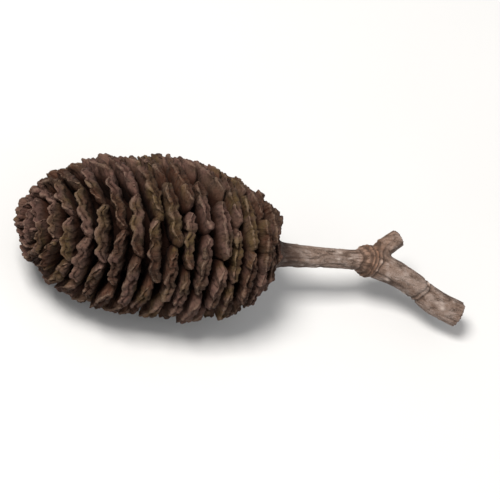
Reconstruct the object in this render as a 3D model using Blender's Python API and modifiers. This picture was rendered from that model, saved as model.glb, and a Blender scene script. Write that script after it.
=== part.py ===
"""An alder cone on its woody stalk, lying on its side.

Metres, +Z up. The origin is the bottom centre of the object's box. The cone's
tip points towards -X and its stalk towards +X.

The cone is built upright first, with its base at the origin and its tip at +Z,
and the pose at the end lays it down on the lips of its lowest scales.
"""

import math
import random

import bmesh
import bpy
import numpy as np
from mathutils import Matrix, Vector

# The cone over the lips of its scales
CONE_LENGTH = 0.0330
CONE_RADIUS = 0.0094
BELLY_SHIFT = 0.88  # under 1, the widest place is nearer the base
BLUNTNESS = 2.4  # 2 makes the side outline an ellipse, more makes the ends blunter

# The woody axis inside, with the socket that the stalk grows from
CORE_RADIUS = 0.0040
CORE_BASE = 0.0012
CORE_TOP = 0.0275
CORE_BLUNTNESS = 3.2
BASE_BREADTH = 0.72  # under 1, the axis stays broad at its base
CORE_SIDES = 16
CORE_RINGS = 8
SOCKET_RADIUS = 0.0018
SOCKET_DEPTH = 0.0024

# The scales, in the spiral order of a cone. Each one fans out from a point on the axis
SCALE_COUNT = 120
GOLDEN_ANGLE = math.radians(137.508)
FIRST_SHARE = 0.020  # where the lips begin, as a share of the length
LAST_SHARE = 0.9995
FAN_START = 0.10  # where on the axis they fan out from, as a share of the length
FAN_SPREAD = 0.66
SCALE_WIDTH = 0.0066
LIP_THICKNESS = 0.00170
LIP_DEPTH = 0.0016  # from the shoulder to the front of the lip
FRONT_THICKNESS_SHARE = 0.88
FRONT_WIDTH_SHARE = 0.94
SHOULDER_WAVE = 0.6  # how much of the lip's waves the shoulder has
ROOT_THICKNESS = 0.00080
ROOT_WIDTH_SHARE = 0.38
ROOT_SINK = 0.0010  # how far a root goes into the axis
NECK_OUT = 0.0003  # and how far it keeps its width outside
BASE_SHRINK = 0.30  # the scales round the stalk are this much smaller
BASE_POWER = 6  # the higher, the fewer scales are smaller
TIP_SHRINK = 0.60
TIP_POWER = 7
LOBES = 3
LOBE_DEPTH = 0.00022
CORNER_DROP = 0.00080
THIN_CORNERS = 0.38  # a lip is thinner at its corners by this share
WAVE_HEIGHT = 0.00020
SPIRAL_TILT = math.radians(9)  # each lip leans a little along the spiral
SEED = 7
SIZE_JITTER = 0.08
TURN_JITTER = math.radians(4)
SHORTEST_REACH = -0.00040  # how far a lip's front stands out of the outline
LONGEST_REACH = 0.00020
ACROSS_NECK = 2  # points over the width of the root, the shoulder and the lip
ACROSS_SHOULDER = 4
ACROSS_LIP = 2 * LOBES + 1

# The stalk and its twig. The points are (up, towards +Y, away from the cone, radius)
STEM_POINTS = (
    (0.0000, 0.0000, -0.0033, 0.00145),
    (0.0000, 0.0000, -0.0005, 0.00148),
    (0.0000, 0.0001, 0.0020, 0.00140),
    (-0.0001, 0.0006, 0.0070, 0.00120),
    (-0.0004, 0.0011, 0.0112, 0.00125),
    (-0.0006, 0.0013, 0.0129, 0.00212),
    (-0.0008, 0.0011, 0.0146, 0.00180),
    (-0.0013, -0.0003, 0.0188, 0.00158),
    (-0.0024, -0.0020, 0.0226, 0.00166),
    (-0.0031, -0.0030, 0.0262, 0.00172),
)
STUB_POINTS = (
    (-0.0006, 0.0009, 0.0130, 0.00120),
    (0.0003, 0.0027, 0.0149, 0.00125),
    (0.0013, 0.0042, 0.0170, 0.00112),
)
STEPS_A_SPAN = 3
STEM_BEVEL = 4

# How the cone lies, with its lowest lips worn flat
ROLL = math.radians(68)
PITCH = math.radians(3.5)
WORN_DEPTH = 0.0004
CUTTER_SIZE = 0.1
MERGE = 1e-6  # points nearer than this are one


def clear_scene():
    for obj in list(bpy.data.objects):
        bpy.data.objects.remove(obj)


def collection(name):
    made = bpy.data.collections.new(name)
    bpy.context.scene.collection.children.link(made)
    return made


def material(name, colour, roughness):
    """A plain Principled material without metal."""
    made = bpy.data.materials.new(name)
    made.use_nodes = True
    shader = made.node_tree.nodes["Principled BSDF"]
    shader.inputs["Base Color"].default_value = (*colour, 1)
    shader.inputs["Roughness"].default_value = roughness
    shader.inputs["Metallic"].default_value = 0
    return made


def set_material(obj, chosen):
    obj.data.materials.clear()
    obj.data.materials.append(chosen)


def add_object(name, mesh, group):
    made = bpy.data.objects.new(name, mesh)
    group.objects.link(made)
    return made


# The outline and the spiral


def blunt_ellipse(across, bluntness):
    """The height, from 0 to 1, of a blunt ellipse at across, from -1 to 1."""
    return math.sqrt(max(0.0, 1 - abs(across) ** bluntness))


def outline_radius(share):
    """The cone's radius over its lips, at a share of its length from the base."""
    return CONE_RADIUS * blunt_ellipse(2 * share**BELLY_SHIFT - 1, BLUNTNESS)


def scale_size(share):
    """A scale's size, 1 for the largest ones."""
    return 1 - BASE_SHRINK * (1 - share) ** BASE_POWER - TIP_SHRINK * share**TIP_POWER


def scale_shares():
    """Where along the cone the scales sit, so that each has the room it needs."""
    steps = 500
    shares = np.linspace(FIRST_SHARE, LAST_SHARE, steps + 1)
    radii = np.array([outline_radius(s) for s in shares])
    sizes = np.array([scale_size((a + b) / 2) for a, b in zip(shares, shares[1:])])
    middles = (radii[1:] + radii[:-1]) / 2
    slants = np.hypot(np.diff(shares) * CONE_LENGTH, np.diff(radii))
    room = np.concatenate(([0], np.cumsum(middles * slants / sizes**2)))
    wanted = (np.arange(SCALE_COUNT) + 0.5) / SCALE_COUNT * room[-1]
    return np.interp(wanted, room, shares)


def core_radius(height):
    """The radius of the woody axis at a height over the cone's base."""
    across = 2 * (height - CORE_BASE) / (CORE_TOP - CORE_BASE) - 1
    if across < 0:
        across *= BASE_BREADTH
    return CORE_RADIUS * blunt_ellipse(min(1.0, across), CORE_BLUNTNESS)


# One scale


def way_out(start, blade):
    """How far from the axis the line of a blade leaves the woody axis."""
    step = CORE_RADIUS / 40
    far = 0
    point = start
    while CORE_BASE < point.z < CORE_TOP and math.hypot(point.x, point.y) < core_radius(point.z):
        far += step
        point = start + blade * far
    return far


def section(middle, side, up, half, thick, count, lip, size):
    """A closed ring round a blade: its top from left to right and then its bottom."""
    blade = side.cross(up)
    top, bottom = [], []
    for k in range(count):
        u = 2 * k / (count - 1) - 1
        ripple = math.cos(math.pi * LOBES * u)
        out = size * (LOBE_DEPTH * ripple - CORNER_DROP * u**4)
        point = middle + side * (half * u)
        point += lip * (blade * out + up * (size * WAVE_HEIGHT * ripple))
        rise = up * (thick / 2 * (1 - THIN_CORNERS * lip * u * u))
        top.append(point + rise)
        bottom.append(point - rise)
    return top + bottom[::-1]


def scale_rings(share, angle, chance):
    """Rings of points round one scale: its sunk root, its neck, its shoulder and its lip."""
    size = scale_size(share) * (1 + SIZE_JITTER * chance.uniform(-1, 1))
    turn = SPIRAL_TILT + TURN_JITTER * chance.uniform(-1, 1)
    reach = chance.uniform(SHORTEST_REACH, LONGEST_REACH)
    radial = Vector((math.cos(angle), math.sin(angle), 0))
    around = Vector((-math.sin(angle), math.cos(angle), 0))
    radius = outline_radius(share)
    start = Vector((0, 0, CONE_LENGTH * (FAN_START + FAN_SPREAD * share)))
    blade = radial * radius + Vector((0, 0, CONE_LENGTH * share)) - start
    length = blade.length + reach
    blade.normalize()
    side = Matrix.Rotation(turn, 3, blade) @ around
    up = blade.cross(side)
    half = SCALE_WIDTH / 2 * size
    thick = LIP_THICKNESS * size
    core = way_out(start, blade)
    narrow = half * ROOT_WIDTH_SHARE
    rings = []
    for at, width, height, count, lip in (
        (core - ROOT_SINK, narrow, ROOT_THICKNESS, ACROSS_NECK, 0),
        (core + NECK_OUT, narrow, ROOT_THICKNESS, ACROSS_NECK, 0),
        (length - LIP_DEPTH * size, half, thick, ACROSS_SHOULDER, SHOULDER_WAVE),
        (length, FRONT_WIDTH_SHARE * half, FRONT_THICKNESS_SHARE * thick, ACROSS_LIP, 1),
    ):
        rings.append(section(start + blade * at, side, up, width, height, count, lip, size))
    return rings


def zip_strip(shape, low, high):
    """Triangles between two rows of points that may differ in number."""
    i, j = 0, 0
    while i < len(low) - 1 or j < len(high) - 1:
        if (i + 1) * (len(high) - 1) <= (j + 1) * (len(low) - 1):
            shape.faces.new((low[i], low[i + 1], high[j]))
            i += 1
        else:
            shape.faces.new((low[i], high[j + 1], high[j]))
            j += 1


def loft(name, rings):
    """A closed mesh through rings that may differ in number of points."""
    shape = bmesh.new()
    rows = [[shape.verts.new(p) for p in ring] for ring in rings]
    for low, high in zip(rows, rows[1:]):
        a, b = len(low) // 2, len(high) // 2
        zip_strip(shape, low[:a], high[:b])
        shape.faces.new((low[a - 1], low[a], high[b], high[b - 1]))
        zip_strip(shape, low[a:], high[b:])
        shape.faces.new((low[-1], low[0], high[0], high[-1]))
    for row in (rows[0], rows[-1]):
        for k in range(len(row) // 2 - 1):
            shape.faces.new((row[k], row[k + 1], row[-2 - k], row[-1 - k]))
    bmesh.ops.recalc_face_normals(shape, faces=shape.faces)
    mesh = bpy.data.meshes.new(name)
    shape.to_mesh(mesh)
    shape.free()
    return mesh


# The two pieces


def make_core(group):
    """The woody axis: a turned spindle with the stalk's socket in its base."""
    span = CORE_TOP - CORE_BASE
    profile = [(0.0, CORE_TOP)]
    for k in range(1, CORE_RINGS):
        height = CORE_TOP - span * k / CORE_RINGS
        profile.append((core_radius(height), height))
    profile += [
        (core_radius(CORE_BASE), CORE_BASE),
        (SOCKET_RADIUS, CORE_BASE),
        (SOCKET_RADIUS, CORE_BASE + SOCKET_DEPTH),
        (0.0, CORE_BASE + SOCKET_DEPTH),
    ]
    mesh = bpy.data.meshes.new("cone")
    edges = [(k, k + 1) for k in range(len(profile) - 1)]
    mesh.from_pydata([(x, 0, z) for x, z in profile], edges, [])
    core = add_object("cone", mesh, group)
    turn = core.modifiers.new("turn", "SCREW")
    turn.steps = turn.render_steps = CORE_SIDES
    turn.use_merge_vertices = True
    turn.merge_threshold = MERGE
    return core


def make_cone(group):
    """The axis with every scale fused to it."""
    core = make_core(group)
    scales = collection("scales")
    chance = random.Random(SEED)
    for number, share in enumerate(scale_shares()):
        rings = scale_rings(share, number * GOLDEN_ANGLE, chance)
        add_object(f"scale_{number}", loft(f"scale_{number}", rings), scales)
    union = core.modifiers.new("scales", "BOOLEAN")
    union.operation = "UNION"
    union.operand_type = "COLLECTION"
    union.collection = scales
    union.solver = "MANIFOLD"
    apply_modifiers(core)
    for obj in list(scales.objects):
        bpy.data.objects.remove(obj)
    bpy.data.collections.remove(scales)
    return core


def apply_modifiers(obj):
    graph = bpy.context.evaluated_depsgraph_get()
    made = bpy.data.meshes.new_from_object(obj.evaluated_get(graph))
    obj.modifiers.clear()
    obj.data = made


def smooth_path(points):
    """Points along a smooth curve through these, each with its radius."""
    knots = [Vector(p) for p in points]
    ends = [2 * knots[0] - knots[1], *knots, 2 * knots[-1] - knots[-2]]
    path = []
    for a, b, c, d in zip(ends, ends[1:], ends[2:], ends[3:]):
        for k in range(STEPS_A_SPAN):
            t = k / STEPS_A_SPAN
            bend = (2 * a - 5 * b + 4 * c - d) * t**2 + (3 * b - a - 3 * c + d) * t**3
            path.append((2 * b + (c - a) * t + bend) / 2)
    return path + [knots[-1]]


def make_rod(name, points, group):
    """A round rod along a smooth path, as a closed mesh."""
    curve = bpy.data.curves.new(name, "CURVE")
    curve.dimensions = "3D"
    curve.bevel_depth = 1  # so that each point's radius is the rod's
    curve.bevel_resolution = STEM_BEVEL
    curve.use_fill_caps = True
    spline = curve.splines.new("POLY")
    path = smooth_path(points)
    spline.points.add(len(path) - 1)
    for point, (up, aside, away, radius) in zip(spline.points, path):
        point.co = (up, aside, -away, 1)
        point.radius = radius
    rod = add_object(name + "_curve", curve, group)
    graph = bpy.context.evaluated_depsgraph_get()
    mesh = bpy.data.meshes.new_from_object(rod.evaluated_get(graph))
    shape = bmesh.new()
    shape.from_mesh(mesh)
    bmesh.ops.remove_doubles(shape, verts=shape.verts, dist=MERGE)
    bmesh.ops.recalc_face_normals(shape, faces=shape.faces)
    shape.to_mesh(mesh)
    shape.free()
    bpy.data.objects.remove(rod)
    return add_object(name, mesh, group)


def make_stem(group):
    """The stalk and the twig beyond its knuckle, with the stub of a side shoot."""
    stem = make_rod("stem", STEM_POINTS, group)
    stub = make_rod("stub", STUB_POINTS, group)
    union = stem.modifiers.new("stub", "BOOLEAN")
    union.operation = "UNION"
    union.object = stub
    union.solver = "EXACT"
    apply_modifiers(stem)
    bpy.data.objects.remove(stub)
    return stem


def lay_down(cone, stem):
    """Sets the pose: the tip's way becomes -X and local +X becomes up."""
    tip_over = Matrix.Rotation(-math.pi / 2 + PITCH, 4, "Y")
    cone.data.transform(tip_over @ Matrix.Rotation(ROLL, 4, "Z"))
    stem.data.transform(tip_over)
    points = [v.co for obj in (cone, stem) for v in obj.data.vertices]
    low = Vector([min(p[k] for p in points) for k in range(3)])
    high = Vector([max(p[k] for p in points) for k in range(3)])
    centre = (low + high) / 2
    shift = Vector((-centre.x, -centre.y, -low.z - WORN_DEPTH))
    for obj in (cone, stem):
        obj.data.transform(Matrix.Translation(shift))


def cut_flat(cone, group):
    """Wears the lowest lips flat at the height of the surface that they lie on."""
    mesh = bpy.data.meshes.new("floor")
    shape = bmesh.new()
    bmesh.ops.create_cube(shape, size=CUTTER_SIZE)
    shape.to_mesh(mesh)
    shape.free()
    floor = add_object("floor", mesh, group)
    floor.location = (0, 0, -CUTTER_SIZE / 2)
    floor.hide_render = True
    floor.display_type = "WIRE"
    wear = cone.modifiers.new("worn flat", "BOOLEAN")
    wear.operation = "DIFFERENCE"
    wear.object = floor
    wear.solver = "EXACT"


def main():
    clear_scene()
    parts = collection("alder_cone")
    cutters = collection("cutters")
    cone = make_cone(parts)
    stem = make_stem(parts)
    set_material(cone, material("cone_scales", (0.105, 0.072, 0.052), 0.85))
    set_material(stem, material("stem_bark", (0.200, 0.132, 0.095), 0.80))
    lay_down(cone, stem)
    cut_flat(cone, cutters)


main()
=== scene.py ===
import math
import random
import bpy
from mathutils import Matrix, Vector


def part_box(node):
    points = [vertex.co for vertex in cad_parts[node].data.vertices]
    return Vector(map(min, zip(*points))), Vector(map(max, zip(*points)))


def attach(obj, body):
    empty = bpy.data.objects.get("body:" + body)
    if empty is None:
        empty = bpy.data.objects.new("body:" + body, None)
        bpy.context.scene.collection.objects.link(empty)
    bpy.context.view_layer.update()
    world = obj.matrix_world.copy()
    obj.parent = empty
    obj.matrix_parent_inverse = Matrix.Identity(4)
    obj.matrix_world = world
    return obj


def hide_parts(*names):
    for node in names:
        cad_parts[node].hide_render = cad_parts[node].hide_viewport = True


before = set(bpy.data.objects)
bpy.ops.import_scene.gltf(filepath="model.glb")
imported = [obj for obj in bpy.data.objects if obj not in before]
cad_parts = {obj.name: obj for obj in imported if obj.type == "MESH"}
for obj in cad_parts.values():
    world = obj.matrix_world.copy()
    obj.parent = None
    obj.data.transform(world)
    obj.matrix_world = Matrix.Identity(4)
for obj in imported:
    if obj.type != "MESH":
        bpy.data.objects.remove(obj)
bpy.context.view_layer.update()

from types import SimpleNamespace

import bmesh
import bpy
import numpy as np
from mathutils import Matrix, Vector

# The looks of an alder cone on its stalk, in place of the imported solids.
#
# Metres, +Z up, tip towards -X. The scales follow the same rule and the same
# seeded draws as the solids, with longer, thinner, wavy and furrowed lips, and
# the stalk follows the same path. Sizes that the solids have too, up to "The
# scales' finer form", and the stalk's points and the pose, are the same here.

MM = 0.001

# The cone over the lips of its scales
CONE_LENGTH = 0.0330
CONE_RADIUS = 0.0094
BELLY_SHIFT = 0.88
BLUNTNESS = 2.4

# The woody axis
CORE_RADIUS = 0.0040
CORE_BASE = 0.0012
CORE_TOP = 0.0275
CORE_BLUNTNESS = 3.2
BASE_BREADTH = 0.72

# The scales, as in the solids
SCALE_COUNT = 120
GOLDEN_ANGLE = math.radians(137.508)
FIRST_SHARE = 0.020
LAST_SHARE = 0.9995
FAN_START = 0.10
FAN_SPREAD = 0.66
SCALE_WIDTH = 0.0066
LIP_THICKNESS = 0.00170
LIP_DEPTH = 0.0016
FRONT_THICKNESS_SHARE = 0.88
FRONT_WIDTH_SHARE = 0.94
SHOULDER_WAVE = 0.6
ROOT_THICKNESS = 0.00080
ROOT_WIDTH_SHARE = 0.38
ROOT_SINK = 0.0010
NECK_OUT = 0.0003
BASE_SHRINK = 0.30
BASE_POWER = 6
TIP_SHRINK = 0.60
TIP_POWER = 7
LOBES = 3
LOBE_DEPTH = 0.00022
THIN_CORNERS = 0.38
WAVE_HEIGHT = 0.00020
SPIRAL_TILT = math.radians(9)
SEED = 7
SIZE_JITTER = 0.08
TURN_JITTER = math.radians(4)
SHORTEST_REACH = -0.00040
LONGEST_REACH = 0.00020

# The scales' finer form
DETAIL_SEED = 11
FINE_WIDTH = 1.13  # how much longer a lip is than in the solids
FINE_THICKNESS = 0.80  # and how much thinner
FINE_CORNER_DROP = 0.00065  # its corners stand back less than the solids' 0.8 mm
COLUMNS = 55  # points over a scale's width
COLUMN_CROWDING = 0.86  # they are closer together near the sides
ON_TOP = 12  # points along its top, and as many along its bottom
ON_LIP = 34  # and round the front of its lip, an even number, so that the sides close
ALONG_POWER = 0.8  # the points on top are closer together near the lip
BLADE_THICKNESS = 0.00110  # between the neck and the shoulder
BLADE_REACH = 0.55  # how far out it stays that thin, as a share of the way
BLADE_BREADTH = 0.78  # how much of its widening is done there
BLADE_WAVE = 0.25  # and how much of the shoulder's waves it has there
LOWER_SHADE = 0.45  # how much darker the lower edge of a lip is
LIP_ROUND = 0.00045  # how deep the rounding of the lip's front is
LIP_SQUARENESS = 4.6  # 2 would be round
SIDE_SQUARENESS = 8
SIDE_THINNING = 0.97  # how much of its thickness a scale loses at its very sides
RIPPLE_SHARES = (0.35, 0.65, 0.22)  # of the lip's waves: smooth, scalloped and fine
SCALLOP_SOFTNESS = 0.02
WARP = 0.06  # how uneven the waves are
WARP_PITCH = 2.7
LIP_FADE = (0.15, 0.9)  # the shares of its waves where a lip's looks begin and are full
FRONT_NARROWING = 0.02
FURROW_DEPTH = 0.00026
FURROW_WIDTH = 0.065  # as a share of half the width
FURROW_PLACES = (-2 / 3, -1 / 3, 0, 1 / 3, 2 / 3)  # from side to side
MAIN_FURROWS = (0.5, 1)  # how strong those a third of the way out are
OTHER_FURROWS = (-0.2, 0.6)  # and the others, where some are missing
FURROW_SHIFT = 0.08  # how far a furrow may be from its place
FURROW_SWAY = 0.04  # how crooked it is
FURROW_WIDTHS = (0.7, 1.3)  # times the width above
FURROW_MIDDLE = 0.60  # how deep it is halfway between the lip's two edges
FURROW_ON_FACE = 0.32  # how much of the thickness a furrow takes
HOLLOW_DEPTH = 0.00036  # along the middle of the lip, between its two edges
HOLLOW_WIDTH = 0.46  # as a share of half the thickness
HOLLOW_PLACES = (-0.25, 0.35)  # between -1, the lower edge, and 1, the upper one
HOLLOW_STRENGTHS = (0.65, 1.1)
HOLLOW_SWAY = 0.16
HOLLOW_SWELL = 0.3  # how much the lip stands out round the hollow, as a share of its depth
HOLLOW_ENDS = 0.55  # how much shallower it is at the scale's sides
ON_FRONT = (0.35, 0.75)  # where round the lip the hollow and the crease begin
CREASE_DEPTH = 0.00022
CREASE_WIDTH = 0.14  # as a share of half the thickness
CREASE_STRENGTHS = (0.25, 1.0)
CREASE_SWAY = 0.20
RAGGED = 0.00018  # the broad unevenness of a lip
WRINKLE = 0.000120  # its fine unevenness
STRIATION = 0.000095  # the ribs along a scale
SLANT = 0.00013  # how much farther out the lip's upper edge stands than its middle
CURL = 0.00026  # how far a lip may bend up or down
CURL_PITCH = 2.2
EDGE_ANGLE = 0.9  # where round the lip its edges are worn pale and carry a painted highlight
EDGE_BREADTH = 0.55
RAGGED_NOISE = ((1, 0.9 * MM, 1),)  # each noise is in layers: how strong, how large, which seed
WRINKLE_NOISE = ((1, 0.42 * MM, 2), (0.6, 0.2 * MM, 3))
STRIATION_NOISE = ((1, 0.28, 4), (0.7, 0.15, 5))
STRIATION_STRETCH = 0.16

# The stalk, as in the solids: (up, towards +Y, away from the cone, radius)
STEM_POINTS = (
    (0.0000, 0.0000, -0.0033, 0.00145),
    (0.0000, 0.0000, -0.0005, 0.00148),
    (0.0000, 0.0001, 0.0020, 0.00140),
    (-0.0001, 0.0006, 0.0070, 0.00120),
    (-0.0004, 0.0011, 0.0112, 0.00125),
    (-0.0006, 0.0013, 0.0129, 0.00212),
    (-0.0008, 0.0011, 0.0146, 0.00180),
    (-0.0013, -0.0003, 0.0188, 0.00158),
    (-0.0024, -0.0020, 0.0226, 0.00166),
    (-0.0031, -0.0030, 0.0262, 0.00172),
)
STUB_POINTS = (
    (-0.0006, 0.0009, 0.0130, 0.00120),
    (0.0003, 0.0027, 0.0149, 0.00125),
    (0.0013, 0.0042, 0.0170, 0.00112),
)
STEPS_A_SPAN = 8
STEM_BEVEL = 8
STEM_SKIN = 0.00013  # the size of the stalk's mesh
STEM_SEED = 5

# The pose
ROLL = math.radians(68)
PITCH = math.radians(3.5)

SOFT_FLOOR = 0.25 * MM  # what is lower than this is pressed flatter

# The pieces that the scales are split into, and what each of their points carries
SCALE_PIECES = ("scales_base", "scales_lower", "scales_upper", "scales_tip")
SCALE_VALUES = ("lip", "edge", "furrow", "out", "tint", "shade")
CORE_RINGS = 70
CORE_BASE_RINGS = 16
CORE_SIDES = 96
CORE_ROUGHNESS = 0.04
CORE_FULLER = 0.5 * MM  # how much thicker it is than in the solids
CORE_HOLE = 0.3  # the middle of its base, which the stalk hides, as a share of its radius
CORE_END = 0.1  # the flat end near the tip, as a share of its radius
CORE_BUMPS = 0.16 * MM
CORE_RIBS = 0.16 * MM  # how high the ribs are that run outwards over the base
CORE_BASE_DEEP = (0.2 * MM, 1.6 * MM)  # how far up the looks of the base reach
CORE_NOISE = ((1, 0.8 * MM, 21), (0.6, 0.35 * MM, 22))
CORE_BUMP_NOISE = ((1, 0.7 * MM, 23), (0.6, 0.3 * MM, 24))
CORE_RIB_NOISE = ((1, 0.16, 25), (0.7, 0.09, 26))

# The bark, along the stalk from its inner end
BARK_RADIUS = 1.5 * MM
BARK_STRETCH = 5
STEM_LENGTH = 29 * MM
BARK_NOISE = ((0.100 * MM, 1.1 * MM, 31), (0.065 * MM, 0.45 * MM, 32), (0.040 * MM, 0.22 * MM, 33))
SHRUNK_NOISE = ((1, 0.75 * MM, 34),)
SHRUNK_DEPTH = 0.110 * MM  # how deep the shrunken lines of the bark are
SHRUNK_WIDTH = 0.13
RING_SCARS = (15.0 * MM, 15.75 * MM, 16.4 * MM, 17.1 * MM, 17.8 * MM, 24.2 * MM, 24.8 * MM)
RING_DEPTH = 0.20 * MM
RING_WIDTH = 0.17 * MM
KNUCKLE_AT = 16.4 * MM
KNUCKLE_SPREAD = 1.5 * MM
LENTICELS = 44
LENTICEL_LENGTH = 0.32 * MM
LENTICEL_BREADTH = 0.19 * MM
LENTICEL_RISE = 0.09 * MM
FOOT_AT = 2.6 * MM
FOOT_SPREAD = 1.0 * MM
FOOT_RISE = 0.75 * MM
FOOT_NOISE = ((0.42, 0.9 * MM, 35), (0.25, 0.4 * MM, 36))
FOOT_LOBES = ((0.22, 5), (0.16, 3))  # how strong, and how many
FOOT_DARK = (4.2 * MM, 8.5 * MM)  # it is dark up to the first and no longer dark from the second on
KNOB_AT = 24.0 * MM
KNOB_ANGLE = 0.6
KNOB_RISE = 0.55 * MM
KNOB_LENGTH = 0.75 * MM
KNOB_BREADTH = 0.65 * MM
STUB_REACH = 2.6 * MM  # how much of the stub's path, from its end, is its own bark
STUB_BARK = 40 * MM  # and how far along the bark it is taken from, so that it differs
PITH_RADIUS = 0.28 * MM
SNAP_WAY = (0.8, 0.6, 0.0)
SNAP_SLOPE = 0.45 * MM
SNAP_FIBRES = 0.22 * MM
SNAP_STEPS = 0.40 * MM
SNAP_RIM = (0.80, 0.93)  # the bark begins there, as a share of the radius

# The wood's colours, from dark to pale
DEEP_DARK = (0.019, 0.005, 0.002)
DEEP_RED = (0.058, 0.018, 0.007)
LIP_DARK = (0.019, 0.007, 0.003)
LIP_BROWN = (0.042, 0.019, 0.010)
LIP_GREY = (0.090, 0.056, 0.039)
LIP_UMBER = (0.050, 0.015, 0.007)
LIP_OCHRE = (0.104, 0.065, 0.021)
LIP_ROSE = (0.124, 0.064, 0.053)
LIP_PALE = (0.112, 0.072, 0.050)
# Pale worn lip edges with a painted highlight, stronger on the upper rim
LIP_WEAR_AND_HIGHLIGHT = (0.190, 0.134, 0.098)
# The painted shade in the furrows, the crease and the hollow of the lips
PAINTED_FURROW_SHADE = (0.017, 0.005, 0.002)
BARK_CRACK = (0.032, 0.017, 0.010)
BARK_DARK = (0.072, 0.042, 0.028)
BARK_TAUPE = (0.152, 0.101, 0.077)
BARK_GREY = (0.245, 0.192, 0.165)
BARK_PALE = (0.420, 0.345, 0.300)
BARK_RUST = (0.215, 0.108, 0.062)
FOOT_BROWN = (0.026, 0.012, 0.007)
WOOD_DARK = (0.330, 0.140, 0.045)
WOOD_TAN = (0.560, 0.270, 0.090)
WOOD_PALE = (0.720, 0.430, 0.190)
WOOD_PITH = (0.160, 0.070, 0.030)

# The view and the light
CAMERA_AZIMUTH = math.radians(-35)
CAMERA_ELEVATION = math.radians(50)
CAMERA_ROLL = math.radians(34)
CAMERA_AIM = (0.0, 0.0, 0.0085)
CAMERA_FAR = 0.42
CAMERA_LENS = 252
CAMERA_SENSOR = 36
WORLD_LIGHT = 0.48
KEY_LIGHT = {"place": (-0.30, -0.05, 0.55), "size": 0.20, "power": 6.0, "colour": (1.0, 0.97, 0.93)}
FILL_LIGHT = {"place": (0.45, -0.50, 0.35), "size": 0.60, "power": 1.6, "colour": (0.98, 0.99, 1.0)}
FLOOR_SIZE = 3.0
FLOOR_SHADES = (0.56, 0.58)


# Numbers without a table


def hashed(i, j, k, seed):
    """A number from -1 to 1 for each lattice point, the same on every run."""
    n = (i * 73856093) ^ (j * 19349663) ^ (k * 83492791) ^ (seed * 2654435761)
    n = (n ^ (n >> 13)) * 1274126177 & 0x7FFFFFFF
    n = (n ^ (n >> 15)) * 668265263 & 0x7FFFFFFF
    return (n ^ (n >> 12)) % 65536 / 32768.0 - 1.0


def noise(points, cell, seed):
    """Smooth noise from -1 to 1 at each point, in cells of that size."""
    at = np.asarray(points, float) / cell
    low = np.floor(at).astype(np.int64)
    part = at - low
    part = part * part * (3 - 2 * part)
    total = np.zeros(len(at))
    for corner in range(8):
        step = [(corner >> axis) & 1 for axis in range(3)]
        weight = np.ones(len(at))
        for axis in range(3):
            weight *= part[:, axis] if step[axis] else 1 - part[:, axis]
        total += weight * hashed(*(low[:, axis] + step[axis] for axis in range(3)), seed)
    return total


def layered(points, layers):
    """Several noises in one, each with its strength, the size of its cells and its seed."""
    return sum(strength * noise(points, cell, seed) for strength, cell, seed in layers)


def bell(distance, width):
    """1 where the distance is 0, and nearly 0 beyond twice the width."""
    return np.exp(-((distance / width) ** 2))


def smooth(low, high, value):
    """From 0 below low to 1 above high."""
    part = np.clip((value - low) / (high - low), 0, 1)
    return part * part * (3 - 2 * part)


# The outline and the spiral, as in the solids


def blunt_ellipse(across, bluntness):
    """How far out an outline is, from 1 in the middle to 0 at -1 and 1."""
    return math.sqrt(max(0.0, 1 - abs(across) ** bluntness))


def outline_radius(share):
    """The radius over the lips, at a share of the cone's length."""
    return CONE_RADIUS * blunt_ellipse(2 * share**BELLY_SHIFT - 1, BLUNTNESS)


def scale_size(share):
    """How large the scales are there, which are small at the base and at the tip."""
    return 1 - BASE_SHRINK * (1 - share) ** BASE_POWER - TIP_SHRINK * share**TIP_POWER


def scale_shares():
    """Where along the cone the scales sit, so that each has the room it needs."""
    steps = 500
    shares = np.linspace(FIRST_SHARE, LAST_SHARE, steps + 1)
    radii = np.array([outline_radius(s) for s in shares])
    sizes = np.array([scale_size((a + b) / 2) for a, b in zip(shares, shares[1:])])
    middles = (radii[1:] + radii[:-1]) / 2
    slants = np.hypot(np.diff(shares) * CONE_LENGTH, np.diff(radii))
    room = np.concatenate(([0], np.cumsum(middles * slants / sizes**2)))
    wanted = (np.arange(SCALE_COUNT) + 0.5) / SCALE_COUNT * room[-1]
    return np.interp(wanted, room, shares)


def core_radius(height):
    """The woody axis's radius at a height."""
    across = 2 * (height - CORE_BASE) / (CORE_TOP - CORE_BASE) - 1
    if across < 0:
        across *= BASE_BREADTH
    return CORE_RADIUS * blunt_ellipse(min(1.0, across), CORE_BLUNTNESS)


def way_out(start, blade):
    """How far from the axis the line of a blade leaves the woody axis."""
    step = CORE_RADIUS / 40
    far = 0
    point = start
    while CORE_BASE < point.z < CORE_TOP and math.hypot(point.x, point.y) < core_radius(point.z):
        far += step
        point = start + blade * far
    return far


# The pose, read from the solids


def cone_pose():
    """The turn and the shift that lay the cone down.

    The stalk's inner end lies on the cone's axis, so its middle tells where the base is.
    """
    turn = Matrix.Rotation(-math.pi / 2 + PITCH, 3, "Y")
    sunk = -STEM_POINTS[0][2]
    corners = np.array([v.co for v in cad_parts["stem"].data.vertices])
    end = corners[corners[:, 0] < corners[:, 0].min() + 0.3 * MM]
    middle = Vector((end.min(0) + end.max(0)) / 2)
    return turn, middle - turn @ Vector((0, 0, sunk))


# Meshes


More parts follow.
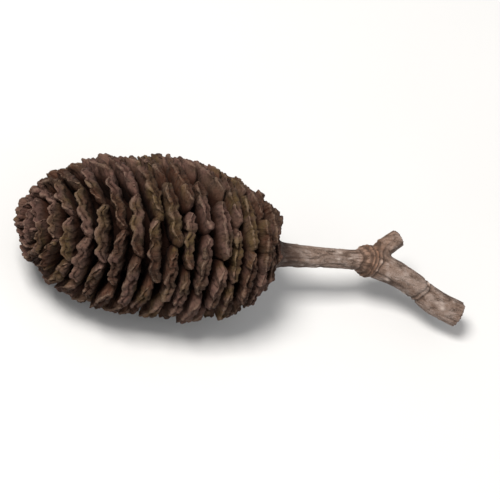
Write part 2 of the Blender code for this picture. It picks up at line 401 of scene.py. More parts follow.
def make_mesh(name, points, faces, attributes, uv=None):
    """A smooth mesh object. Faces have four corners, and attributes have a value for each point."""
    mesh = bpy.data.meshes.new(name)
    faces = np.asarray(faces, np.int32)
    mesh.vertices.add(len(points))
    mesh.vertices.foreach_set("co", np.asarray(points, np.float32).ravel())
    mesh.loops.add(faces.size)
    mesh.loops.foreach_set("vertex_index", faces.ravel())
    mesh.polygons.add(len(faces))
    mesh.polygons.foreach_set("loop_start", np.arange(0, faces.size, 4, dtype=np.int32))
    mesh.polygons.foreach_set("use_smooth", np.ones(len(faces), bool))
    mesh.update(calc_edges=True)
    for key, values in attributes.items():
        layer = mesh.attributes.new(key, "FLOAT", "POINT")
        layer.data.foreach_set("value", np.asarray(values, np.float32))
    if uv is not None:
        layer = mesh.uv_layers.new(name="UVMap")
        layer.data.foreach_set("uv", np.asarray(uv, np.float32)[faces.ravel()].ravel())
    made = bpy.data.objects.new(name, mesh)
    bpy.context.scene.collection.objects.link(made)
    return made


# One scale


def squared(value, squareness):
    """A sine or cosine, bent so that the two draw a rounded square instead of a circle."""
    return np.sign(value) * np.abs(value) ** (2 / squareness)


def lip_angles():
    """The angles round the front of a lip, from its top edge to its bottom edge, evenly spread."""
    angle = np.linspace(math.pi / 2, -math.pi / 2, 2001)
    across = LIP_ROUND * squared(np.cos(angle), LIP_SQUARENESS)
    high = FINE_THICKNESS * LIP_THICKNESS / 2 * squared(np.sin(angle), LIP_SQUARENESS)
    run = np.concatenate(([0], np.cumsum(np.hypot(np.diff(across), np.diff(high)))))
    return np.interp(np.linspace(0, run[-1], ON_LIP), run, angle)


def stand_scale(share, angle, chance):
    """Where a scale starts, its three directions, its length and its size, as in the solids."""
    size = scale_size(share) * (1 + SIZE_JITTER * chance.uniform(-1, 1))
    turn = SPIRAL_TILT + TURN_JITTER * chance.uniform(-1, 1)
    reach = chance.uniform(SHORTEST_REACH, LONGEST_REACH)
    radial = Vector((math.cos(angle), math.sin(angle), 0))
    around = Vector((-math.sin(angle), math.cos(angle), 0))
    start = Vector((0, 0, CONE_LENGTH * (FAN_START + FAN_SPREAD * share)))
    blade = radial * outline_radius(share) + Vector((0, 0, CONE_LENGTH * share)) - start
    length = blade.length + reach
    blade.normalize()
    side = Matrix.Rotation(turn, 3, blade) @ around
    return start, blade, side, length, size


def side_view(size, core, length):
    """A scale seen from its side: a ring of points along its top, round its lip and back.

    Each has a place outwards, a level from 1 on the top to -1 on the bottom, an angle round
    the lip, half the scale's width and thickness there, and its share of the lip's waves.
    """
    half = FINE_WIDTH * SCALE_WIDTH / 2 * size
    thick = FINE_THICKNESS * LIP_THICKNESS * size
    root = core - ROOT_SINK
    neck = core + NECK_OUT
    shoulder = length - LIP_DEPTH * size
    thin_end = neck + BLADE_REACH * (shoulder - neck)
    narrow = half * ROOT_WIDTH_SHARE
    middle = narrow + BLADE_BREADTH * (half - narrow)
    blade_thick = min(BLADE_THICKNESS, thick)
    stations = (root, neck, thin_end, shoulder, length)
    widths = (narrow, narrow, middle, half, FRONT_WIDTH_SHARE * half)
    thicks = (ROOT_THICKNESS, ROOT_THICKNESS, blade_thick, thick, FRONT_THICKNESS_SHARE * thick)
    waves = (0, 0, BLADE_WAVE * SHOULDER_WAVE, SHOULDER_WAVE, 1)

    deep = LIP_ROUND * size
    front = length - deep
    theta = lip_angles()
    along = root + (front - root) * np.linspace(0, 1, ON_TOP, endpoint=False) ** ALONG_POWER
    flat, quarter = np.ones(ON_TOP), np.full(ON_TOP, math.pi / 2)
    out = np.concatenate((along, front + deep * squared(np.cos(theta), LIP_SQUARENESS), along[::-1]))
    return SimpleNamespace(
        out=out,
        level=np.concatenate((flat, squared(np.sin(theta), LIP_SQUARENESS), -flat)),
        angle=np.concatenate((quarter, theta, -quarter)),
        width=np.interp(out, stations, widths),
        height=np.interp(out, stations, thicks) / 2,
        wave=np.interp(out, stations, waves),
        neck=neck,
    )


def ripple_across(u, detail):
    """The waves of a lip from side to side, where u goes from -1 to 1."""
    even, scalloped, fine = RIPPLE_SHARES
    warped = u + WARP * np.sin(WARP_PITCH * u + detail.uniform(0, 6)) * (1 - u * u)
    scallops = 2 * np.sqrt(np.cos(math.pi * LOBES / 2 * warped) ** 2 + SCALLOP_SOFTNESS) - 1
    ripple = even * np.cos(math.pi * LOBES * warped) + scalloped * scallops
    return ripple + fine * np.cos(math.pi * 2 * LOBES * warped + detail.uniform(-2, 2))


def furrows_across(u, angle, detail):
    """How deep the furrows are that run over a lip from its top to its bottom."""
    furrow = np.zeros_like(u)
    for place in FURROW_PLACES:
        main_one = abs(place) == 1 / 3
        strength = detail.uniform(*(MAIN_FURROWS if main_one else OTHER_FURROWS))
        off = u - place - detail.uniform(-FURROW_SHIFT, FURROW_SHIFT)
        off = off - FURROW_SWAY * np.sin(2 * angle + detail.uniform(0, 6))
        furrow = furrow + max(0, strength) * bell(off, FURROW_WIDTH * detail.uniform(*FURROW_WIDTHS))
    return furrow


def dents_along(u, level, angle, detail):
    """How deep the hollow and the crease are that run along the front of a lip."""
    on_front = smooth(*ON_FRONT, np.cos(angle) ** (2 / LIP_SQUARENESS))
    hollow_at = detail.uniform(*HOLLOW_PLACES)
    hollow_at = hollow_at + HOLLOW_SWAY * np.sin(u * detail.uniform(1, 4) + detail.uniform(0, 6))
    hollow = bell(level - hollow_at, HOLLOW_WIDTH) * detail.uniform(*HOLLOW_STRENGTHS) * on_front
    hollow = hollow * (1 - HOLLOW_ENDS * np.abs(u) ** 3)
    crease_at = hollow_at + CREASE_SWAY * np.sin(u * detail.uniform(2, 5) + detail.uniform(0, 6))
    crease = bell(level - crease_at, CREASE_WIDTH) * detail.uniform(*CREASE_STRENGTHS) * on_front
    return hollow, crease


def scale_points(share, angle, chance, detail):
    """The points of one scale, column after column, with what colours them."""
    start, blade, side, length, size = stand_scale(share, angle, chance)
    view = side_view(size, way_out(start, blade), length)
    level, height, wave = view.level, view.height, view.wave
    lip = smooth(*LIP_FADE, wave)
    columns = np.sin(np.linspace(-1, 1, COLUMNS) * math.pi / 2 * COLUMN_CROWDING)
    u = (columns / math.sin(math.pi / 2 * COLUMN_CROWDING))[:, None]
    ripple = ripple_across(u, detail)
    furrow = furrows_across(u, view.angle, detail)
    hollow, crease = dents_along(u, level, view.angle, detail)
    bend = detail.uniform(-1, 1) * CURL
    sway = detail.uniform(-1, 1) * CURL
    phase = detail.uniform(0, 6)

    # How far each point moves outwards, and how far up
    push = size * wave * (LOBE_DEPTH * ripple - FINE_CORNER_DROP * u**4)
    furrow_level = FURROW_MIDDLE + (1 - FURROW_MIDDLE) * level**2
    push = push - size * lip * (FURROW_DEPTH * furrow * furrow_level + CREASE_DEPTH * crease)
    push = push - size * lip * HOLLOW_DEPTH * (hollow - HOLLOW_SWELL)
    push = push + SLANT * lip * level
    lift = size * wave * WAVE_HEIGHT * ripple
    lift = lift + wave**2 * (bend + sway * np.sin(u * CURL_PITCH + phase))
    thinner = (1 - SIDE_THINNING * np.abs(u) ** SIDE_SQUARENESS) ** 0.5
    rise = height * level * (1 - THIN_CORNERS * wave * u * u) * thinner
    rise = rise * (1 - FURROW_ON_FACE * lip * furrow)

    start, blade, side, up = (np.array(v) for v in (start, blade, side, blade.cross(side)))
    points = (
        start
        + (view.out + push)[..., None] * blade
        + (view.width * u * (1 - FRONT_NARROWING * wave))[..., None] * side
        + (lift + rise)[..., None] * up
    )

    shape = points.shape[:2]
    run = np.concatenate(([0], np.cumsum(np.hypot(np.diff(view.out), np.diff(height * level)))))
    # Pale lip edges: partly wear, partly a painted highlight, which is stronger on the upper edge
    # where the light falls
    edge = np.clip(bell(np.abs(view.angle) - EDGE_ANGLE, EDGE_BREADTH) * lip + 0 * u, 0, 1)
    # Painted shade: the furrows, the crease and the hollow are painted darker, where shade falls in
    # them; this is kept as "furrow"
    dark = 0.8 * furrow * (0.5 + 0.5 * level**2) + crease + 0.55 * hollow
    # Painted shade: darker towards the root, deep between the scales, and along the lower edge of each
    # lip
    out = smooth(view.neck, length, view.out) * (1 - LOWER_SHADE * lip * (1 - level) / 2)
    flat = np.broadcast_to
    tint, shade = detail.random(), detail.random()
    across = flat(view.width * u / MM, shape) + 20 * detail.random()
    return {
        "points": points,
        "lip": flat(lip, shape),
        "edge": flat(edge * (1 - furrow) * (0.65 + 0.35 * level), shape),
        "furrow": flat(np.clip(dark, 0, 1) * lip, shape),
        "out": flat(out, shape),
        "tint": np.full(shape, tint),
        "shade": np.full(shape, shade),
        "uv": np.stack((across, flat(run / MM, shape)), -1),
    }


def scale_faces(first):
    """The faces of one scale: its grid, closed at the root and along both sides."""
    ring = 2 * ON_TOP + ON_LIP
    faces = []
    for i in range(COLUMNS - 1):
        a = first + i * ring
        b = a + ring
        for j in range(ring):
            k = (j + 1) % ring
            faces.append((a + j, a + k, b + k, b + j))
    last = first + (COLUMNS - 1) * ring
    for j in range(ring // 2 - 1):
        faces.append((first + j, first + ring - 1 - j, first + ring - 2 - j, first + j + 1))
        faces.append((last + j, last + j + 1, last + ring - 2 - j, last + ring - 1 - j))
    return faces


def grid_normals(points):
    """The outward way at each point of a grid, from its neighbours."""
    across = np.gradient(points, axis=0)
    along = np.roll(points, -1, 1) - np.roll(points, 1, 1)
    normal = np.cross(along, across)
    return normal / np.maximum(np.linalg.norm(normal, axis=2, keepdims=True), 1e-12)


def wrinkled(scale):
    """Moves a scale's points in and out a little, more on its lip."""
    points = scale["points"]
    normal = grid_normals(points)
    flat = points.reshape(-1, 3)
    lip = scale["lip"].reshape(-1)
    rough = RAGGED * layered(flat, RAGGED_NOISE) * lip
    rough += WRINKLE * (0.35 + 0.65 * lip) * layered(flat, WRINKLE_NOISE)
    ribs = np.column_stack((scale["uv"].reshape(-1, 2) * (1, STRIATION_STRETCH), np.zeros(len(flat))))
    rough += STRIATION * (0.4 + 0.6 * lip) * layered(ribs, STRIATION_NOISE)
    return flat + rough[:, None] * normal.reshape(-1, 3)


def lay(points, turn, place):
    """Points turned and moved into the cone's pose."""
    return points @ np.array(turn).T + np.array(place)


def settle(points, node):
    """Keeps points inside a node's box, and presses flat what meets the floor."""
    low, high = (np.array(corner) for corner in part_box(node))
    low[2] = -np.inf
    points = np.clip(points, low, high)
    height = points[:, 2]
    points[:, 2] = np.where(height < SOFT_FLOOR, SOFT_FLOOR * np.exp(height / SOFT_FLOOR - 1), height)
    return points


def make_scales(pose):
    """The scales as four pieces, from the base to the tip."""
    turn, place = pose
    chance = random.Random(SEED)
    detail = random.Random(DETAIL_SEED)
    spin = Matrix.Rotation(ROLL, 3, "Z")
    scales = []
    for number, share in enumerate(scale_shares()):
        scales.append(scale_points(share, number * GOLDEN_ANGLE, chance, detail))
    ring = 2 * ON_TOP + ON_LIP
    many = len(scales) // len(SCALE_PIECES)
    made = []
    for k, name in enumerate(SCALE_PIECES):
        group = scales[many * k : many * (k + 1)]
        points = np.concatenate([wrinkled(s) for s in group])
        points = settle(lay(points, turn @ spin, place), "cone")
        values = {key: np.concatenate([s[key].reshape(-1) for s in group]) for key in SCALE_VALUES}
        uv = np.concatenate([s["uv"].reshape(-1, 2) for s in group])
        faces = [f for n in range(len(group)) for f in scale_faces(n * COLUMNS * ring)]
        made.append(make_mesh(name, points, faces, values, uv))
    return made


# The woody axis


def cap(first, count, flip):
    """Faces that close a ring of points with strips across it."""
    faces = []
    for j in range(count // 2 - 1):
        face = (first + j, first + j + 1, first + count - 2 - j, first + count - 1 - j)
        faces.append(face[::-1] if flip else face)
    return faces


def make_core(pose):
    """The rough woody axis that shows deep between the scales."""
    turn, place = pose
    heights = np.linspace(CORE_BASE, CORE_TOP, CORE_RINGS)
    radii = [core_radius(h) + CORE_FULLER for h in heights[:-1]] + [CORE_END * CORE_RADIUS]
    base = np.linspace(CORE_HOLE * CORE_RADIUS, radii[0], CORE_BASE_RINGS, endpoint=False)
    radii = [*base, *radii]
    heights = [*([CORE_BASE] * CORE_BASE_RINGS), *heights]
    around = np.linspace(0, 2 * math.pi, CORE_SIDES, endpoint=False)
    points = [(r * math.cos(a), r * math.sin(a), h) for r, h in zip(radii, heights) for a in around]
    points = np.array(points)
    points[:, :2] *= 1 + CORE_ROUGHNESS * layered(points, CORE_NOISE)[:, None]
    points[:, 2] += CORE_BUMPS * layered(points, CORE_BUMP_NOISE)
    base_share = 1 - smooth(*CORE_BASE_DEEP, points[:, 2] - CORE_BASE)
    rays = np.arctan2(points[:, 1], points[:, 0])
    rays = np.column_stack((np.cos(rays), np.sin(rays), 40 * np.hypot(points[:, 0], points[:, 1])))
    points[:, 2] -= CORE_RIBS * base_share * layered(rays, CORE_RIB_NOISE)
    faces = []
    for i in range(len(radii) - 1):
        a, b = i * CORE_SIDES, (i + 1) * CORE_SIDES
        for j in range(CORE_SIDES):
            k = (j + 1) % CORE_SIDES
            faces.append((a + j, a + k, b + k, b + j))
    faces += cap(0, CORE_SIDES, True) + cap((len(radii) - 1) * CORE_SIDES, CORE_SIDES, False)
    values = {key: np.zeros(len(points)) for key in SCALE_VALUES}
    # Painted shade: through "out" the core is darkened deep between the scales, less so over its open
    # base
    values["lip"] = 0.65 * base_share
    values["out"] = 0.70 * base_share
    return make_mesh("woody_axis", lay(points, turn, place), faces, values, points[:, :2] / MM)


# The stalk


def smooth_path(points):
    """Points along a smooth curve through these, each with its radius."""
    knots = [Vector(p) for p in points]
    ends = [2 * knots[0] - knots[1], *knots, 2 * knots[-1] - knots[-2]]
    path = []
    for a, b, c, d in zip(ends, ends[1:], ends[2:], ends[3:]):
        for k in range(STEPS_A_SPAN):
            t = k / STEPS_A_SPAN
            bend = (2 * a - 5 * b + 4 * c - d) * t**2 + (3 * b - a - 3 * c + d) * t**3
            path.append((2 * b + (c - a) * t + bend) / 2)
    return path + [knots[-1]]


def rod(path):
    """A round rod along a path, as a curve object."""
    curve = bpy.data.curves.new("rod", "CURVE")
    curve.dimensions = "3D"
    curve.bevel_depth = 1
    curve.bevel_resolution = STEM_BEVEL
    curve.use_fill_caps = True
    spline = curve.splines.new("POLY")
    spline.points.add(len(path) - 1)
    for point, (up, aside, away, radius) in zip(spline.points, path):
        point.co = (up, aside, -away, 1)
        point.radius = radius
    made = bpy.data.objects.new("rod", curve)
    bpy.context.scene.collection.objects.link(made)
    return made


def skin(rods):
    """One closed even mesh over all the rods, as points and faces."""
    shape = bmesh.new()
    graph = bpy.context.evaluated_depsgraph_get()
    for obj in rods:
        shape.from_mesh(bpy.data.meshes.new_from_object(obj.evaluated_get(graph)))
        bpy.data.objects.remove(obj)
    bmesh.ops.remove_doubles(shape, verts=shape.verts, dist=1e-7)
    mesh = bpy.data.meshes.new("skin")
    shape.to_mesh(mesh)
    shape.free()
    obj = bpy.data.objects.new("skin", mesh)
    bpy.context.scene.collection.objects.link(obj)
    remesh = obj.modifiers.new("even", "REMESH")
    remesh.mode = "VOXEL"
    remesh.voxel_size = STEM_SKIN
    relax = obj.modifiers.new("relax", "SMOOTH")
    relax.iterations = 3
    graph = bpy.context.evaluated_depsgraph_get()
    made = bpy.data.meshes.new_from_object(obj.evaluated_get(graph))
    bpy.data.objects.remove(obj)
    points = np.array([v.co for v in made.vertices])
    normals = np.array([v.normal for v in made.vertices])
    faces = [tuple(p.vertices) for p in made.polygons]
    return points, normals, faces


def along_path(points, path):
    """For each point: how far along the path it is, the angle round it, how far out it is, how
    far it is past the path's end, and the path's radius there. The last value is the end's direction.
    """
    knots = np.array([(p[0], p[1], -p[2]) for p in path])
    radii = np.array([p[3] for p in path])
    lengths = np.concatenate(([0], np.cumsum(np.linalg.norm(np.diff(knots, axis=0), axis=1))))
    ways = np.gradient(knots, axis=0)
    ways /= np.linalg.norm(ways, axis=1, keepdims=True)
    near = np.argmin(np.linalg.norm(points[:, None] - knots[None], axis=2), axis=1)
    offset = points - knots[near]
    way = ways[near]
    run = lengths[near] + (offset * way).sum(1)
    first = np.cross(way, (0.0, 1.0, 0.0))
    first /= np.linalg.norm(first, axis=1, keepdims=True)
    second = np.cross(way, first)
    flat = offset - (offset * way).sum(1)[:, None] * way
    angle = np.arctan2((flat * second).sum(1), (flat * first).sum(1))
    over = ((points - knots[-1]) * ways[-1]).sum(1)
    return run, angle, np.linalg.norm(flat, axis=1), over, radii[near], ways[-1]


def bark(run, angle, detail):
    """How far the bark stands in or out, and where its lenticels are."""
    across, high = BARK_RADIUS * np.cos(angle), BARK_RADIUS * np.sin(angle)
    rolled = np.column_stack((across, high, run / BARK_STRETCH))
    rise = layered(rolled, BARK_NOISE)
    rise -= SHRUNK_DEPTH * bell(layered(rolled, SHRUNK_NOISE), SHRUNK_WIDTH)
    wave = 0.12 * MM * np.sin(angle * 2 + 1) + 0.07 * MM * np.sin(angle * 5)
    for place in RING_SCARS:
        rise -= RING_DEPTH * bell(run - place - wave, RING_WIDTH)
    spots = np.zeros(len(run))
    for _ in range(LENTICELS):
        place = detail.uniform(4 * MM, STEM_LENGTH)
        turn = detail.uniform(-math.pi, math.pi)
        round_off = (angle - turn + math.pi) % (2 * math.pi) - math.pi
        far = np.hypot((run - place) / LENTICEL_LENGTH, round_off * BARK_RADIUS / LENTICEL_BREADTH)
        spots = np.maximum(spots, np.exp(-far * far))
    rise += LENTICEL_RISE * spots
    return rise, spots


def snapped(points, over, out, radius, seed):
    """The broken end of a twig: how much each point is bare wood, and how deep it is broken."""
    bare = smooth(-0.10 * MM, -0.02 * MM, over)
    fibres = 0.5 + 0.5 * noise(points, 0.22 * MM, seed)
    steps = smooth(-0.3, 0.4, noise(points, 0.9 * MM, seed + 1))
    slope = (points @ np.array(SNAP_WAY)) / radius
    slope = 0.5 + 0.5 * (slope - slope[bare > 0.5].mean())
    depth = bare * (SNAP_FIBRES * fibres + SNAP_STEPS * steps + SNAP_SLOPE * np.clip(slope, 0, 1.2))
    inner = bare * (1 - smooth(*SNAP_RIM, out / radius))
    return inner, depth


def make_stem(pose):
    """The stalk, its knuckle, the snapped twig beyond it and the stub of a side shoot."""
    turn, place = pose
    detail = random.Random(STEM_SEED)
    main_path, stub_path = smooth_path(STEM_POINTS), smooth_path(STUB_POINTS)
    points, normals, faces = skin([rod(main_path), rod(stub_path)])
    run, angle, out, over, radius, way = along_path(points, main_path)
    run_b, angle_b, out_b, over_b, radius_b, way_b = along_path(points, stub_path)
    on_stub = (out_b / radius_b < out / radius) & (over_b > -STUB_REACH) & (run_b > 0)
    bark_run = np.where(on_stub, run_b + STUB_BARK, run)
    rise, spots = bark(bark_run, np.where(on_stub, angle_b, angle), detail)
    lobes = sum(strength * np.sin(count * angle) for strength, count in FOOT_LOBES)
    lobes += layered(points, FOOT_NOISE)
    foot = bell(run - FOOT_AT, FOOT_SPREAD) * FOOT_RISE * (1 + lobes)
    knob_turn = (angle - KNOB_ANGLE + math.pi) % (2 * math.pi) - math.pi
    knob = bell(run - KNOB_AT, KNOB_LENGTH) * bell(knob_turn * BARK_RADIUS, KNOB_BREADTH)
    rise += np.where(on_stub, 0, foot + KNOB_RISE * knob)
    bare, depth = snapped(points, over, out, radius, 41)
    bare_b, depth_b = snapped(points, over_b, out_b, radius_b, 43)
    bare_b, depth_b = np.where(on_stub, (bare_b, depth_b), 0)
    bare, depth = np.where(on_stub, 0, (bare, depth))
    moved = points + (rise * (1 - bare - bare_b))[:, None] * normals
    moved -= depth[:, None] * way + depth_b[:, None] * way_b
    values = {"wood": np.maximum(bare, bare_b), "spot": spots, "run": run, "rise": rise / (0.1 * MM)}
    values["knuckle"] = bell(run - KNUCKLE_AT, KNUCKLE_SPREAD)
    values["foot"] = np.where(on_stub, 0, 1 - smooth(*FOOT_DARK, run))
    values["dent"] = np.clip(-rise / (0.16 * MM), 0, 1)
    values["pith"] = bell(np.where(on_stub, out_b, out), PITH_RADIUS) * values["wood"]
    rolled = np.column_stack((angle * BARK_RADIUS / MM, run / MM))
    return make_mesh("stalk", lay(moved, turn, place), faces, values, rolled)


# Materials


def node(tree, kind, inputs=None, **settings):
    """A shader node with settings and inputs, each a value or the output that feeds it."""
    made = tree.nodes.new("ShaderNode" + kind)
    for key, value in settings.items():
        setattr(made, key, value)
    for key, value in (inputs or {}).items():
        if isinstance(value, bpy.types.NodeSocket):
            tree.links.new(value, made.inputs[key])
        else:
            made.inputs[key].default_value = value
    return made


def attribute(tree, name):
    """A value that the mesh carries for each point."""
    return node(tree, "Attribute", attribute_name=name).outputs["Fac"]


def grains(tree, where, scale, detail=4.0, roughness=0.6, stretch=(1, 1, 1)):
    """Noise from 0 to 1, with this many cells a millimetre."""
    mapping = node(tree, "Mapping", {"Vector": where, "Scale": [scale * s for s in stretch]})
    inputs = {"Vector": mapping.outputs[0], "Scale": 1.0, "Detail": detail, "Roughness": roughness}
    return node(tree, "TexNoise", inputs).outputs["Fac"]


def ramp(tree, value, stops):
    """A colour or grey ramp. Stops are (place, colour)."""
    made = node(tree, "ValToRGB", {"Fac": value})
    elements = made.color_ramp.elements
    while len(elements) < len(stops):
        elements.new(0.5)
    for element, (place, colour) in zip(elements, stops):
        element.position = place
        element.color = (*colour, 1) if isinstance(colour, tuple) else (colour, colour, colour, 1)
    return made.outputs["Color"]


def blend(tree, factor, low, high):
    """A mix of two colours."""
    made = node(tree, "Mix", data_type="RGBA")
    for key, value in ((0, factor), (6, low), (7, high)):
        if isinstance(value, bpy.types.NodeSocket):
            tree.links.new(value, made.inputs[key])
        else:
            made.inputs[key].default_value = value if key == 0 else (*value, 1)
    return made.outputs[2]


def shaded(tree, colour, shade):
    """A colour multiplied by a grey."""
    made = node(tree, "Mix", {0: 1.0, 6: colour, 7: shade}, data_type="RGBA", blend_type="MULTIPLY")
    return made.outputs[2]


def sums(tree, kind, a, b):
    """Two values in one sum, held between 0 and 1."""
    return node(tree, "Math", {0: a, 1: b}, operation=kind, use_clamp=True).outputs[0]


def bumped(tree, height, distance, strength=1.0, under=None):
    """A surface raised by a height from 0 to 1, on top of another one if there is one."""
    inputs = {"Height": height, "Distance": distance, "Strength": strength}
    if under is not None:
        inputs["Normal"] = under
    return node(tree, "Bump", inputs).outputs["Normal"]


def new_material(name, roughness, specular):
    """A material with its node tree and its shader."""
    made = bpy.data.materials.new(name)
    made.use_nodes = True
    shader = made.node_tree.nodes["Principled BSDF"]
    shader.inputs["Roughness"].default_value = roughness
    shader.inputs["Specular IOR Level"].default_value = specular
    return made, made.node_tree, shader


def millimetres(tree):
    """Places on the object, in millimetres."""
    place = node(tree, "TexCoord").outputs["Object"]
    return node(tree, "VectorMath", {0: place, 3: 1 / MM}, operation="SCALE").outputs[0]


def scale_material():
    """Dry weathered cone wood: grey brown on the lips, dark red brown between them, with painted shade
    deep between the scales, in the furrows and along the lips' lower edges, and a painted highlight on
    their upper rims.
    """
    made, tree, shader = new_material("cone_wood", 0.85, 0.15)
    place = millimetres(tree)
    skin_way = node(tree, "UVMap", uv_map="UVMap").outputs[0]
    lip, furrow, edge = (attribute(tree, key) for key in ("lip", "furrow", "edge"))
    tint, shade, out = (attribute(tree, key) for key in ("tint", "shade", "out"))
    fibres = grains(tree, skin_way, 5.0, 5.0, 0.65, (1, 0.16, 1))
    blotches = grains(tree, place, 0.45, 3.0, 0.55)
    patches = grains(tree, place, 0.13, 2.0, 0.5)
    fields = grains(tree, place, 0.19, 2.0, 0.5, (1, 1.2, 0.9))
    mottle = grains(tree, place, 2.2, 5.0, 0.65)
    grime = grains(tree, place, 1.3, 5.0, 0.68, (1.1, 1, 1.2))
    dust = grains(tree, place, 9.0, 3.0, 0.7)
    specks = grains(tree, place, 5.0, 2.0, 0.5)

    deep = blend(tree, blotches, DEEP_DARK, DEEP_RED)
    lip_brown = ramp(tree, mottle, ((0.36, LIP_DARK), (0.50, LIP_BROWN), (0.64, LIP_GREY)))
    tinted = blend(tree, ramp(tree, tint, ((0.0, 0.0), (0.5, 0.1), (1.0, 0.85))), lip_brown, LIP_UMBER)
    tinted = blend(tree, ramp(tree, shade, ((0.0, 0.55), (0.3, 0.0), (1.0, 0.0))), tinted, LIP_GREY)
    tinted = blend(tree, ramp(tree, specks, ((0.40, 0.6), (0.50, 0.0))), tinted, LIP_DARK)
    mossy = ramp(tree, blotches, ((0.42, 0.0), (0.62, 1.0)))
    ochre = sums(tree, "MULTIPLY", ramp(tree, shade, ((0.78, 0.0), (0.95, 0.8))), mossy)
    tinted = blend(tree, ochre, tinted, LIP_OCHRE)
    tinted = blend(tree, ramp(tree, patches, ((0.50, 0.0), (0.60, 0.80))), tinted, LIP_OCHRE)
    tinted = blend(tree, ramp(tree, fields, ((0.49, 0.0), (0.59, 0.80))), tinted, LIP_ROSE)
    tinted = blend(tree, ramp(tree, fields, ((0.36, 0.85), (0.46, 0.0))), tinted, LIP_UMBER)
    tinted = shaded(tree, tinted, ramp(tree, grime, ((0.36, 0.35), (0.50, 0.85), (0.58, 1.0))))
    streaks = ramp(tree, fibres, ((0.35, 0.0), (0.65, 1.0)))
    streaked = blend(tree, sums(tree, "MULTIPLY", streaks, 0.45), tinted, LIP_PALE)
    colour = blend(tree, ramp(tree, lip, ((0.25, 0.0), (0.95, 1.0))), deep, streaked)
    # Painted shade, darkest in the furrows, the crease and the hollow of the lips
    painted_furrow_shade = sums(tree, "MULTIPLY", ramp(tree, furrow, ((0.25, 0.0), (0.9, 1.0))), 0.6)
    colour = blend(tree, painted_furrow_shade, colour, PAINTED_FURROW_SHADE)
    # Worn pale edges together with a painted highlight on the lips' upper rims
    scuffs = ramp(tree, dust, ((0.40, 0.0), (0.62, 0.65)))
    wear_and_highlight = sums(tree, "MULTIPLY", ramp(tree, edge, ((0.25, 0.0), (0.95, 1.0))), scuffs)
    colour = blend(tree, wear_and_highlight, colour, LIP_WEAR_AND_HIGHLIGHT)
    # Painted shade: darker deep between the scales and along the lips' lower edges
    colour = shaded(tree, colour, ramp(tree, out, ((0.35, 0.35), (0.92, 1.0))))
    tree.links.new(colour, shader.inputs["Base Color"])

    roughness = ramp(tree, mottle, ((0.3, 0.95), (0.7, 0.78)))
    tree.links.new(roughness, shader.inputs["Roughness"])
    normal = bumped(tree, fibres, 0.22 * MM, 1.0)
    normal = bumped(tree, mottle, 0.16 * MM, 0.9, normal)
    normal = bumped(tree, dust, 0.05 * MM, 0.9, normal)
    tree.links.new(normal, shader.inputs["Normal"])
    return made


def stem_material():
    """Dry taupe bark with pale lenticels, and bare orange wood where it is snapped."""
    made, tree, shader = new_material("stalk_bark", 0.8, 0.3)
    place = millimetres(tree)
    wood, spot, pith, rise = (attribute(tree, key) for key in ("wood", "spot", "pith", "rise"))
    knuckle, foot, dent = (attribute(tree, key) for key in ("knuckle", "foot", "dent"))
    cracks = grains(tree, place, 3.0, 5.0, 0.65, (0.22, 1, 1))
    mottle = grains(tree, place, 0.9, 4.0, 0.6)
    dust = grains(tree, place, 8.0, 3.0, 0.7)
    brown = ramp(tree, mottle, ((0.30, BARK_DARK), (0.50, BARK_TAUPE), (0.70, BARK_GREY)))
    brown = blend(tree, ramp(tree, cracks, ((0.36, 0.85), (0.50, 0.0))), brown, BARK_CRACK)
    brown = blend(tree, ramp(tree, rise, ((0.0, 0.0), (1.0, 0.35))), brown, BARK_GREY)
    brown = blend(tree, ramp(tree, dust, ((0.52, 0.0), (0.70, 0.45))), brown, BARK_PALE)
    brown = blend(tree, sums(tree, "MULTIPLY", spot, 0.75), brown, BARK_PALE)
    rusty = sums(tree, "MULTIPLY", knuckle, ramp(tree, mottle, ((0.40, 0.25), (0.60, 0.9))))
    brown = blend(tree, rusty, brown, BARK_RUST)
    brown = blend(tree, sums(tree, "MULTIPLY", dent, 0.75), brown, BARK_CRACK)
    dark_foot = sums(tree, "MULTIPLY", foot, ramp(tree, cracks, ((0.40, 1.0), (0.65, 0.75))))
    brown = blend(tree, dark_foot, brown, FOOT_BROWN)
    rays = grains(tree, place, 6.0, 4.0, 0.6, (0.3, 1, 1))
    tan = ramp(tree, rays, ((0.32, WOOD_DARK), (0.52, WOOD_TAN), (0.70, WOOD_PALE)))
    tan = blend(tree, pith, tan, WOOD_PITH)
    colour = blend(tree, ramp(tree, wood, ((0.35, 0.0), (0.75, 1.0))), brown, tan)
    tree.links.new(colour, shader.inputs["Base Color"])
    tree.links.new(ramp(tree, mottle, ((0.3, 0.88), (0.7, 0.66))), shader.inputs["Roughness"])
    normal = bumped(tree, cracks, 0.12 * MM, 0.8)
    normal = bumped(tree, mottle, 0.12 * MM, 0.5, normal)
    normal = bumped(tree, dust, 0.03 * MM, 0.6, normal)
    tree.links.new(normal, shader.inputs["Normal"])
    return made


# The setting


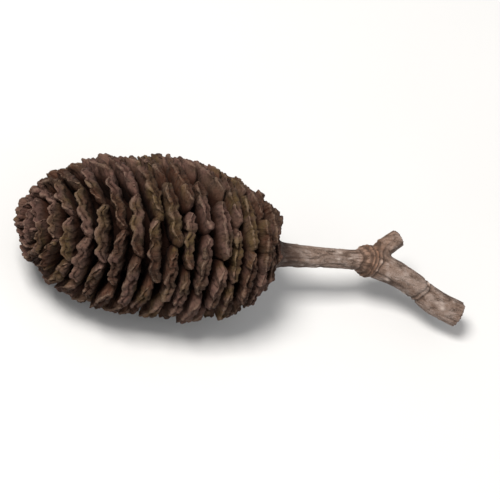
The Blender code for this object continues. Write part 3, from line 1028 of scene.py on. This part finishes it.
def make_floor():
    """A plain pale floor."""
    mesh = bpy.data.meshes.new("floor")
    half = FLOOR_SIZE / 2
    corners = [(-half, -half, 0), (half, -half, 0), (half, half, 0), (-half, half, 0)]
    mesh.from_pydata(corners, [], [(0, 1, 2, 3)])
    floor = bpy.data.objects.new("floor", mesh)
    bpy.context.scene.collection.objects.link(floor)
    made, tree, shader = new_material("pale_floor", 0.9, 0.2)
    shade = grains(tree, millimetres(tree), 0.02, 2.0, 0.5)
    colour = ramp(tree, shade, tuple(zip((0.3, 0.7), FLOOR_SHADES)))
    tree.links.new(colour, shader.inputs["Base Color"])
    floor.data.materials.append(made)


def add_light(name, place, size, power, colour):
    """A soft square light that faces the object."""
    light = bpy.data.lights.new(name, "AREA")
    light.size = size
    light.energy = power
    light.color = colour
    obj = bpy.data.objects.new(name, light)
    obj.location = place
    obj.rotation_euler = Vector(place).to_track_quat("Z", "Y").to_euler()
    bpy.context.scene.collection.objects.link(obj)


def make_lights():
    """An even sky, a key light from the upper left and a soft fill light."""
    world = bpy.data.worlds.new("studio")
    world.use_nodes = True
    background = world.node_tree.nodes["Background"]
    background.inputs["Color"].default_value = (1, 1, 1, 1)
    background.inputs["Strength"].default_value = WORLD_LIGHT
    bpy.context.scene.world = world
    add_light("key", **KEY_LIGHT)
    add_light("fill", **FILL_LIGHT)


def make_camera():
    """The photo's view of the cone."""
    azimuth, elevation = CAMERA_AZIMUTH, CAMERA_ELEVATION
    back = Vector((
        math.sin(azimuth) * math.cos(elevation),
        -math.cos(azimuth) * math.cos(elevation),
        math.sin(elevation),
    ))
    camera = bpy.data.cameras.new("camera")
    camera.lens = CAMERA_LENS
    camera.sensor_width = CAMERA_SENSOR
    obj = bpy.data.objects.new("camera", camera)
    turn = back.to_track_quat("Z", "Y").to_matrix() @ Matrix.Rotation(CAMERA_ROLL, 3, "Z")
    obj.matrix_world = Matrix.Translation(Vector(CAMERA_AIM) + CAMERA_FAR * back) @ turn.to_4x4()
    bpy.context.scene.collection.objects.link(obj)
    bpy.context.scene.camera = obj


def main():
    """Builds the looks, ties them to the frame and sets the view."""
    pose = cone_pose()
    wood = scale_material()
    bark_skin = stem_material()
    scales = make_scales(pose)
    core = make_core(pose)
    stem = make_stem(pose)
    for piece in (*scales, core):
        piece.data.materials.append(wood)
        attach(piece, "root")
        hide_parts("cone")
    stem.data.materials.append(bark_skin)
    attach(stem, "root")
    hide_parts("stem")
    make_floor()
    make_lights()
    make_camera()
    bpy.context.scene.view_settings.view_transform = "Standard"


main()
